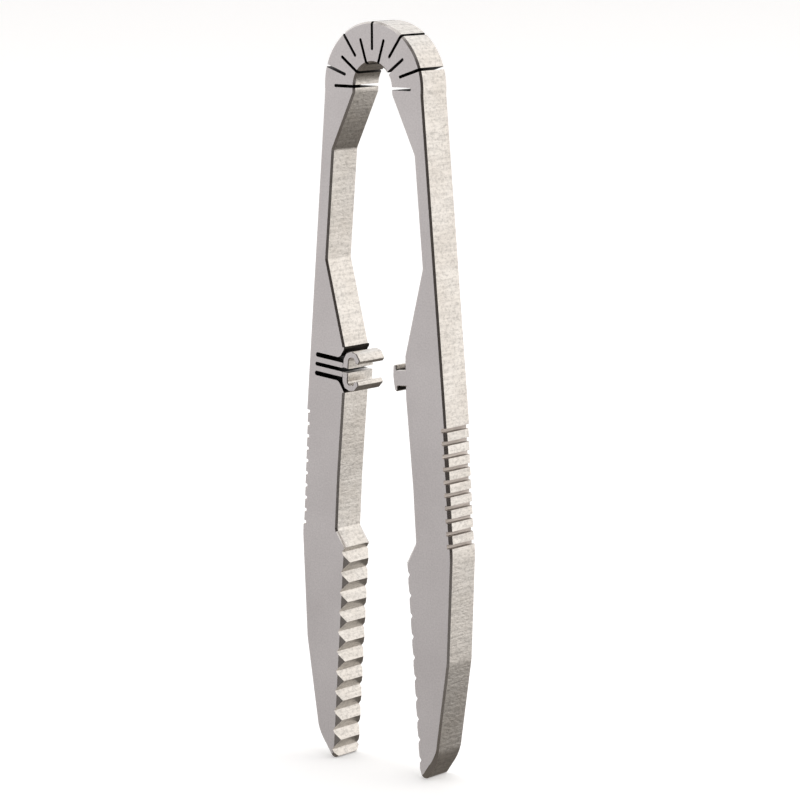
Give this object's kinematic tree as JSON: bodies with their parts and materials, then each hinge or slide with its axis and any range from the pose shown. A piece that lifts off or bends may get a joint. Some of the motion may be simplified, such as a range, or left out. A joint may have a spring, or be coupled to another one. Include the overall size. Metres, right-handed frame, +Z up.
{
  "type": "spring tongs",
  "caption": "One-piece titanium pocket tongs: slotted half-round spring head, two arms with finger grooves and toothed jaws, and a snap catch between them.",
  "frame": {"origin": "on the surface the jaw tips touch, midway between the arms and midway through the plate", "axes": "+Z up from the jaw tips to the spring head, X across the two arms with the stud arm at +X, Y through the plate with the front face at -Y"},
  "size_m": [0.025, 0.0048, 0.0946],
  "materials": {
    "satin_titanium": "satin blasted titanium",
    "cut_titanium": "fine striated wire-cut titanium"
  },
  "bodies": {
    "head_centre": {"head_hub_3": "satin_titanium", "head_hub_2": "satin_titanium", "head_hub_4": "satin_titanium", "head_rim_2": "satin_titanium", "head_rim_3": "satin_titanium", "head_leaf_4": "satin_titanium", "head_leaf_5": "satin_titanium", "head_leaf_6": "satin_titanium", "head_leaf_7": "satin_titanium"},
    "arm_right_body": {"arm_right": "satin_titanium", "catch_stud": "cut_titanium", "head_rim_1": "satin_titanium", "head_hub_1": "satin_titanium", "head_leaf_1": "satin_titanium", "head_leaf_2": "satin_titanium", "head_leaf_3": "satin_titanium"},
    "arm_left_body": {"arm_left": "satin_titanium", "head_rim_4": "satin_titanium", "head_hub_5": "satin_titanium", "head_leaf_8": "satin_titanium", "head_leaf_9": "satin_titanium", "head_leaf_10": "satin_titanium"},
    "hook_upper_body": {"catch_hook_upper": "cut_titanium", "catch_leaf_upper": "cut_titanium"},
    "hook_lower_body": {"catch_hook_lower": "cut_titanium", "catch_leaf_lower": "cut_titanium"}
  },
  "joints": [
    {"name": "squeeze", "type": "hinge", "parent": "head_centre", "child": "arm_right_body", "pos_m": [0.00384, 0, 0.09036], "axis": [0, 1, 0], "range_deg": [0, 4.48], "stiffness_Nm_per_rad": 7, "deforming": ["head_leaf_3"]},
    {"name": "squeeze_left", "type": "hinge", "parent": "head_centre", "child": "arm_left_body", "pos_m": [-0.00384, 0, 0.09036], "axis": [0, -1, 0], "range_deg": [0, 4.48], "deforming": ["head_leaf_8"]},
    {"name": "catch_upper", "type": "hinge", "parent": "arm_left_body", "child": "hook_upper_body", "pos_m": [-0.0088, 0, 0.05172], "axis": [0, -1, 0], "range_deg": [0, 4.93], "deforming": ["catch_leaf_upper"]},
    {"name": "catch_lower", "type": "hinge", "parent": "arm_left_body", "child": "hook_lower_body", "pos_m": [-0.00889, 0, 0.05057], "axis": [0, 1, 0], "range_deg": [0, 4.93], "deforming": ["catch_leaf_lower"]}
  ],
  "couplings": [
    {"joint": "squeeze_left", "follows": "squeeze", "ratio": 1},
    {"joint": "catch_upper", "follows": "squeeze", "ratio": 1.1},
    {"joint": "catch_lower", "follows": "squeeze", "ratio": 1.1}
  ]
}
